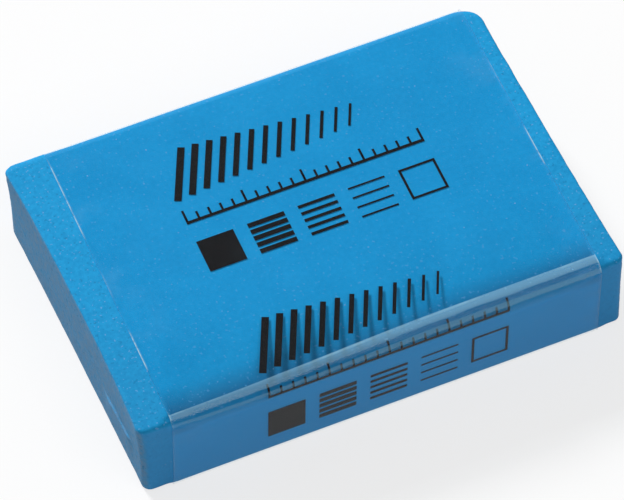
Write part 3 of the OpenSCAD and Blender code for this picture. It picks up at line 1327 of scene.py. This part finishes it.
    def skin(self) -> tuple[np.ndarray, list[tuple[int, ...]]]:
        """The block's closed skin.

        Returns:
            Its vertices and its faces, which point outwards.
        """
        rings = self.skin_rings()
        count = len(rings[0])
        faces = []
        for base in range(0, (len(rings) - 1) * count, count):
            for k in range(count):
                after = (k + 1) % count
                faces.append((base + k, base + after, base + count + after, base + count + k))
        places = list(rings)
        plan = self.cap_plan()
        nx, ny = plan.shape[0] - 1, plan.shape[1] - 1
        start = self.corner_steps // 2
        for on_top, rim in ((False, 0), (True, (len(rings) - 1) * count)):
            base = sum(len(p) for p in places)
            index = np.zeros((nx + 1, ny + 1), int)
            index[1:-1, 1:-1] = base + np.arange((nx - 1) * (ny - 1)).reshape(nx - 1, ny - 1)
            loop = rim + (start + np.arange(2 * (nx + ny) + 1)) % count
            index[nx, :] = loop[: ny + 1]
            index[::-1, ny] = loop[ny : ny + nx + 1]
            index[0, ::-1] = loop[ny + nx : 2 * ny + nx + 1]
            index[:, 0] = loop[2 * ny + nx :]
            x, y = plan[1:-1, 1:-1, 0].ravel(), plan[1:-1, 1:-1, 1].ravel()
            z = self.top_at(x, y) if on_top else self.under_at(x, y)
            places.append(np.stack([x + self.lean(x, y, float(on_top)), y, z], 1))
            quads = np.stack([index[:-1, :-1], index[1:, :-1], index[1:, 1:], index[:-1, 1:]], -1)
            faces += [tuple(q) if on_top else tuple(q[::-1]) for q in quads.reshape(-1, 4).tolist()]
        return np.concatenate(places), faces

    @staticmethod
    def outward(places: np.ndarray, faces: list[tuple[int, ...]]) -> np.ndarray:
        """The unit normal at each vertex."""
        quads = np.array(faces)
        a, b, c, d = (places[quads[:, corner]] for corner in range(4))
        total = np.zeros_like(places)
        for corner in range(4):
            np.add.at(total, quads[:, corner], np.cross(c - a, d - b))
        return total / np.linalg.norm(total, axis=1, keepdims=True)

    def under_film(self, places: np.ndarray, normals: np.ndarray) -> np.ndarray:
        """How far each vertex lies under the film: 0 where it is bare, 1 where it is covered."""
        y, up = places[:, 1], normals[:, 2]
        sleeve, turn = self.sleeve, self.half_width
        before_seam = y < sleeve.winding.seam_place
        girth = np.where(up > self.level_turn, -y, -np.sign(y) * (turn + (self.roof - places[:, 2])))
        under_girth = turn + self.roof + np.where(before_seam, turn + y, turn - y)
        girth = np.where(up < -self.level_turn, np.where(before_seam, 1, -1) * under_girth, girth)
        drift = -girth * math.tan(math.radians(sleeve.winding.skew_degrees))
        x = places[:, 0]
        inside = np.minimum(x - sleeve.left_edge - drift, sleeve.right_edge + drift - x)
        return smooth_step(inside, 0.0, self.film_easing) \
            * (1 - smooth_step(np.abs(normals[:, 0]), *self.film_end_turn))

    def stand_out(self, places: np.ndarray) -> np.ndarray:
        """How far the ledge's lower lip stands out of the left end."""
        ledge, y, z = self.ledge, places[:, 1], places[:, 2]
        line = ledge.height + ledge.slope * (ledge.level_at - y) + ledge.sway * np.sin(y * ledge.sway_rate)
        window = smooth_step(y, *ledge.front_end) * (1 - smooth_step(y, *ledge.back_end))
        lip = smooth_step(line - z, -ledge.crispness, ledge.crispness) \
            * np.exp(-np.maximum(line - z, 0) / ledge.lip_reach)
        return ledge.lip * window * lip * (places[:, 0] < 0)

    def relief(self, places: np.ndarray, normals: np.ndarray, covered: np.ndarray) -> np.ndarray:
        """How far each vertex stands proud of the plain shape.

        Args:
            places: The vertices.
            normals: Their unit normals.
            covered: How far each one lies under the film.

        Returns:
            The relief along the normals.
        """
        d = self.relief_depths
        cut = smooth_step(np.abs(normals[:, 0]), *self.cut_turn)
        lumps, grain, waves, drag, chips = (soft_noise(places, *pattern.value) for pattern in Pattern)
        bare = d.bare_lumps * lumps + d.bare_grain * grain
        pressed = -d.pressed_in - d.pressed_waves * (1 + waves) + d.pressed_grain * grain
        sliced = -d.sliced_in + d.sliced_drag * drag + d.sliced_grain * grain + d.sliced_lumps * lumps
        rim = (np.abs(normals[:, 0]) > d.chip_slope) & (places[:, 2] > self.roof - d.chip_height)
        chipped = -d.chip_depth * (1 + chips) * rim
        foot = smooth_step(-places[:, 1], *d.foot_forward) * (1 - smooth_step(places[:, 2], *d.foot_height))
        skin = pressed * covered * (1 - d.foot_share * foot) + bare * (1 - covered)
        ledge = np.where(normals[:, 0] < self.ledge.slope_limit, self.stand_out(places), 0)
        return skin * (1 - cut) + sliced * cut + chipped + ledge

    def shade(self, places: np.ndarray, normals: np.ndarray, covered: np.ndarray) -> np.ndarray:
        """How much painted shade the putty takes near the front edge.

        Args:
            places: The vertices.
            normals: Their unit normals.
            covered: How far each one lies under the film.

        Returns:
            The share of the painted shade's tone at each vertex.
        """
        s, forward = self.shading, -places[:, 1]
        low, high = (self.roof - depth for depth in s.sunk_below_roof)
        # painted shade where the putty lies sunk under the film, eased right at the front edge
        sunk = s.sunk * smooth_step(forward, *s.sunk_forward) \
            * (1 - s.relieved * smooth_step(forward, *s.relieved_forward)) \
            * smooth_step(places[:, 2], low, high)
        # painted shade on the bare ends, darker towards the front
        bare_end_shade = s.bare_end_shade * smooth_step(forward, *s.bare_end_shade_forward) * smooth_step(normals[:, 2], *s.bare_end_shade_rise)
        return covered * sunk + (1 - covered) * bare_end_shade

    def build(self, putty: "PuttyFinish") -> bpy.types.Object:
        """Makes the block and hangs it on the part.

        Args:
            putty: Its finish.

        Returns:
            The finished piece.
        """
        places, faces = self.skin()
        normals = self.outward(places, faces)
        covered = self.under_film(places, normals)
        moved = places + normals * self.relief(places, normals, covered)[:, None]
        lowest, highest = (np.array(corner) / MM for corner in CAD_BOUNDS)
        held = np.clip(moved, lowest + self.box_clearance, highest - self.box_clearance)
        block = new_piece("putty_block", held, faces)
        store(block, "bare", 1 - covered)
        store(block, "cut_face", smooth_step(np.abs(normals[:, 0]), *self.cut_turn))
        # marks the upright sides, which take a painted sheen
        store(block, "upright", 1 - smooth_step(normals[:, 2], *self.upright_turn))
        # the painted shade near the front edge, for the putty's material
        store(block, "shade", self.shade(places, normals, covered))
        block.data.materials.append(putty.material())
        settle(block, Slot.PUTTY, "eraser_block")
        return block


@dataclass(frozen=True)
class PuttyFinish:
    """Soft blue putty: matt, faintly mottled and flecked, greyer where it was cut (partly dusted, partly a
    painted sheen), with a painted sheen on its upright sides and painted shade near the front edge.
    """

    deep: Colour = (0.002, 0.285, 0.620)
    pale: Colour = (0.010, 0.350, 0.720)
    # grey of the cut ends: partly dusted, partly a painted sheen
    dust_and_sheen: Colour = (0.16, 0.325, 0.53)
    # tone of the painted shade
    shaded: Colour = (0.012, 0.13, 0.30)
    # painted sheen on the upright sides, under the film and bare
    side_sheen_bare: Colour = (0.10, 0.33, 0.72)
    side_sheen_covered: Colour = (0.004, 0.36, 0.90)
    fleck: Colour = (0.14, 0.38, 0.72)
    speck: Colour = (0.004, 0.21, 0.46)
    roughness: Span = (0.56, 0.7)
    gloss: Span = (0.07, 0.16)
    broad: Mottle = Mottle(5.5, (0.3, 0.7), 4.0, 0.6)
    fine: Mottle = Mottle(0.42, (0.3, 0.72), 3.0, 0.65)
    dust_and_sheen_patches: Mottle = Mottle(0.5, (0.3, 0.7), 3.0, 0.7, (0.35, 0.95))
    flecks: Mottle = Mottle(0.24, (0.71, 0.80), 0.0)
    specks: Mottle = Mottle(0.31, (0.37, 0.27), 1.0)
    broad_share: float = 0.4
    fine_share: Span = (0.4, 0.6)
    fleck_share: Span = (0.35, 0.4)
    speck_share: Span = (0.1, 0.6)
    # share of the painted sheen on the upright sides
    side_sheen_share: float = 0.45
    side_calm: float = 0.75
    rough_shares: Span = (0.6, 0.4)
    grain_height: float = 0.03
    grain_strength: float = 0.7
    grain_period: float = 0.26
    grain_share: Span = (0.15, 0.85)
    lump_period: float = 0.9
    lump_share: Span = (0.4, 0.4)

    def material(self) -> bpy.types.Material:
        """The putty's material."""
        made, board, output = new_material("blue_putty")
        place = board.place()
        bare, cut = board.attribute("bare"), board.attribute("cut_face")

        def shared(share: Span) -> Field:
            """A share that grows from under the film to the bare putty."""
            return bare * share[1] + share[0]

        fine = self.fine.over(board, place)
        tone = self.broad.over(board, place) * self.broad_share + fine * shared(self.fine_share)
        colour = board.blend(board.maths("MULTIPLY", tone, 1.0, clamp=True), self.deep, self.pale)
        # painted sheen on the upright sides
        upright = board.attribute("upright") * (1.0 - cut)
        side = board.blend(bare, self.side_sheen_covered, self.side_sheen_bare)
        colour = board.blend(upright * self.side_sheen_share, colour, side)
        # painted shade near the front edge
        colour = board.blend(board.attribute("shade"), colour, self.shaded)
        # cut ends greyer: partly dusted, partly a painted sheen
        colour = board.blend(self.dust_and_sheen_patches.over(board, place) * cut, colour, self.dust_and_sheen)
        calm = 1.0 - upright * self.side_calm
        for pattern, share, spot in (
            (self.flecks, self.fleck_share, self.fleck), (self.specks, self.speck_share, self.speck)
        ):
            colour = board.blend(pattern.over(board, place) * shared(share) * calm, colour, spot)
        grit = fine * self.rough_shares[0] + bare * self.rough_shares[1]
        rough = board.ramp(grit, 0.0, 1.0, *self.roughness)
        height = board.noise(place, self.grain_period, 3.0, 0.65) * shared(self.grain_share) \
            + board.noise(place, self.lump_period) * shared(self.lump_share)
        bump = board.node(
            "ShaderNodeBump",
            {"Strength": self.grain_strength, "Distance": self.grain_height * MM, "Height": height},
        )
        gloss = board.ramp(bare, 0.0, 1.0, *self.gloss)
        putty = board.solid(colour, rough, extra={"Specular IOR Level": gloss, "Normal": bump.outputs[0]})
        board.feed(output.inputs["Surface"], putty)
        return made


@dataclass
class PuttyGrains:
    """Tiny pale grains of filler that show at the putty's surface."""

    block: bpy.types.Object
    per_square_mm: float = 0.1
    radius: Span = (0.035, 0.085)
    flatness: float = 0.22
    narrowness: float = 0.75
    box_clearance: float = 0.003
    seed: int = 7

    def build(self, fleck: "GrainFinish") -> bpy.types.Object:
        """Scatters the grains over the block.

        Args:
            fleck: Their finish.

        Returns:
            The finished piece.
        """
        numbers = ["Density", "Least Radius", "Most Radius", "Flatness", "Narrowness"]
        board, skin, value = new_geometry_tree("scatter_grains", numbers, ["Seed"])
        spread = board.node(
            "GeometryNodeDistributePointsOnFaces",
            {"Mesh": skin, "Density": value["Density"], "Seed": value["Seed"]},
        )
        size = board.node(
            "FunctionNodeRandomValue",
            {2: value["Least Radius"], 3: value["Most Radius"], "Seed": value["Seed"]},
            data_type="FLOAT",
        )
        radius = Field(board, size.outputs[1])
        grain = board.node("GeometryNodeMeshIcoSphere", {"Radius": 1.0, "Subdivisions": 2})
        scale = board.vector(radius, radius * value["Narrowness"], radius * value["Flatness"])
        placed = board.node(
            "GeometryNodeInstanceOnPoints",
            {
                "Points": spread.outputs["Points"],
                "Instance": grain.outputs[0],
                "Rotation": spread.outputs["Rotation"],
                "Scale": scale,
            },
        )
        solid = board.node("GeometryNodeRealizeInstances", {0: placed.outputs[0]})
        dressed = board.node(
            "GeometryNodeSetMaterial", {"Geometry": solid.outputs[0], "Material": fleck.material()}
        )
        board.node("NodeGroupOutput", {0: dressed.outputs[0]})
        grains = bpy.data.objects.new("putty_grains", self.block.data.copy())
        bpy.context.scene.collection.objects.link(grains)
        sizes = {
            "Density": self.per_square_mm / MM**2, "Least Radius": self.radius[0] * MM,
            "Most Radius": self.radius[1] * MM, "Flatness": self.flatness,
            "Narrowness": self.narrowness, "Seed": self.seed,
        }
        grow(grains, board, sizes)
        self.hold_in_box(grains)
        settle(grains, Slot.PUTTY)
        return grains

    def hold_in_box(self, piece: bpy.types.Object) -> None:
        """Keeps every vertex inside the CAD part's box."""
        flat = np.zeros(len(piece.data.vertices) * 3, np.float32)
        piece.data.vertices.foreach_get("co", flat)
        lowest, highest = (np.array(corner) for corner in CAD_BOUNDS)
        inset = self.box_clearance * MM
        held = np.clip(flat.reshape(-1, 3), lowest + inset, highest - inset)
        piece.data.vertices.foreach_set("co", held.astype(np.float32).ravel())
        piece.data.update()


@dataclass(frozen=True)
class GrainFinish:
    """Pale mineral filler, stained by the putty."""

    stained: Colour = (0.03, 0.33, 0.66)
    clean: Colour = (0.16, 0.38, 0.70)
    roughness: float = 0.6
    cleaning: Mottle = Mottle(1.5, (0.35, 0.65))

    def material(self) -> bpy.types.Material:
        """The grains' material."""
        made, board, output = new_material("pale_grain")
        place = board.place()
        tone = board.blend(self.cleaning.over(board, place), self.stained, self.clean)
        board.feed(output.inputs["Surface"], board.solid(tone, self.roughness))
        return made


# ---------------------------------------------------------------- studio


@dataclass(frozen=True)
class SoftLamp:
    """A soft rectangular lamp that faces the block.

    towards points from the block to the lamp, distance and sides are in metres, and radiance is
    how bright its face looks, where 1 is white.
    """

    name: str
    towards: tuple[float, float, float]
    distance: float
    sides: Span
    radiance: float

    def place(self) -> None:
        """Makes the lamp."""
        data = bpy.data.lights.new(self.name, "AREA")
        data.shape = "RECTANGLE"
        data.size, data.size_y = self.sides
        data.energy = self.radiance * math.pi * self.sides[0] * self.sides[1]
        lamp = bpy.data.objects.new(self.name, data)
        direction = Vector(self.towards).normalized()
        lamp.location = direction * self.distance
        lamp.rotation_mode = "QUATERNION"
        lamp.rotation_quaternion = direction.to_track_quat("Z", "Y")
        bpy.context.scene.collection.objects.link(lamp)


@dataclass
class Studio:
    """The camera, the pale floor and the soft lamps."""

    azimuth: float = -22.33
    elevation: float = 52.944
    roll: float = -1.461
    distance: float = 453.56
    aim: Span = (-0.013, 1.912)
    focal_pixels: float = 5400.9
    image_width: int = 624
    floor_half: float = 2.5
    floor_drop: float = 0.01
    sensor_width: float = 36.0
    clip_range: Span = (0.01, 20.0)
    world_grey: float = 0.24
    lamps: tuple[SoftLamp, ...] = (
        SoftLamp("key_lamp", (-0.158, 0.808, 0.565), 1.6, (0.36, 0.36), 60.0),
        SoftLamp("front_softbox", (0.12, -0.62, 0.78), 0.9, (0.9, 0.62), 1.3),
    )

    def place_camera(self) -> None:
        """Makes the camera, which looks at the block from the front, above and the left."""
        a, e, r = (math.radians(v) for v in (self.azimuth, self.elevation, self.roll))
        back = Vector((math.sin(a) * math.cos(e), -math.cos(a) * math.cos(e), math.sin(e)))
        level = (-back).cross(Vector((0, 0, 1))).normalized()
        above = level.cross(-back)
        right = math.cos(r) * level + math.sin(r) * above
        up = -math.sin(r) * level + math.cos(r) * above
        data = bpy.data.cameras.new("camera")
        data.sensor_width = self.sensor_width
        data.lens = self.focal_pixels / self.image_width * data.sensor_width
        data.clip_start, data.clip_end = self.clip_range
        camera = bpy.data.objects.new("camera", data)
        place = (right * self.aim[0] + up * self.aim[1] + back * self.distance) * MM
        turn = Matrix((right, up, back)).transposed().to_4x4()
        camera.matrix_world = Matrix.Translation(place) @ turn
        bpy.context.scene.collection.objects.link(camera)
        bpy.context.scene.camera = camera

    def lay_floor(self, finish: "FloorFinish") -> None:
        """Lays the pale floor under the part."""
        half = self.floor_half / MM
        sides = ((-1, -1), (1, -1), (1, 1), (-1, 1))
        corners = np.array([(x * half, y * half, -self.floor_drop) for x, y in sides])
        floor = new_piece("floor", corners, [(0, 1, 2, 3)])
        floor.data.materials.append(finish.material())

    def light(self) -> None:
        """Sets the soft grey world and the lamps."""
        world = bpy.data.worlds.new("world")
        bpy.context.scene.world = world
        world.use_nodes = True
        board = Board(world.node_tree)
        grey = board.node("ShaderNodeBackground", {"Color": [self.world_grey] * 3, "Strength": 1.0})
        board.node("ShaderNodeOutputWorld", {"Surface": grey.outputs[0]})
        for lamp in self.lamps:
            lamp.place()

    def build(self) -> None:
        """Makes the whole studio."""
        self.place_camera()
        self.lay_floor(FloorFinish())
        self.light()
        bpy.context.scene.view_settings.view_transform = "Standard"
        log.info("studio: camera, floor and %d lamps", len(self.lamps))


@dataclass(frozen=True)
class FloorFinish:
    """Pale matt board, white to the eye and softer in the light it throws back."""

    seen: float = 0.98
    thrown: float = 0.5
    own_white: float = 0.7

    def material(self) -> bpy.types.Material:
        """The floor's material, open from below so that the underside can be looked at."""
        made, board, output = new_material("pale_floor")
        rays = board.node("ShaderNodeLightPath")
        looked_at = Field(board, rays.outputs["Is Camera Ray"]) \
            .most(Field(board, rays.outputs["Is Glossy Ray"])) \
            .most(Field(board, rays.outputs["Is Transmission Ray"]))
        tone = board.blend(looked_at, [self.thrown] * 3, [self.seen] * 3)
        matt = board.node("ShaderNodeBsdfDiffuse", {"Color": tone})
        white = board.node("ShaderNodeEmission", {"Color": (1.0, 1.0, 1.0, 1.0), "Strength": 1.0})
        lit = board.node(
            "ShaderNodeMixShader", {0: looked_at * self.own_white, 1: matt.outputs[0], 2: white.outputs[0]}
        )
        below = board.node("ShaderNodeNewGeometry").outputs["Backfacing"]
        clear = board.node("ShaderNodeBsdfTransparent")
        both = board.node("ShaderNodeMixShader", {0: below, 1: lit.outputs[0], 2: clear.outputs[0]})
        board.feed(output.inputs["Surface"], both.outputs[0])
        return made


# ---------------------------------------------------------------- the whole scene


def main() -> None:
    """Builds every piece in order, and the studio round them."""
    logging.basicConfig(level=logging.INFO, format="%(name)s: %(message)s")
    winding = Winding()
    sleeve = FilmSleeve(winding)
    block = PuttyBlock(sleeve).build(PuttyFinish())
    PuttyGrains(block).build(GrainFinish())
    winding_tree = winding.tree()
    sleeve.build(winding_tree, FilmFinish())
    TonePrint(winding).build(winding_tree, InkFinish())
    Studio().build()


if __name__ == "__main__":
    main()
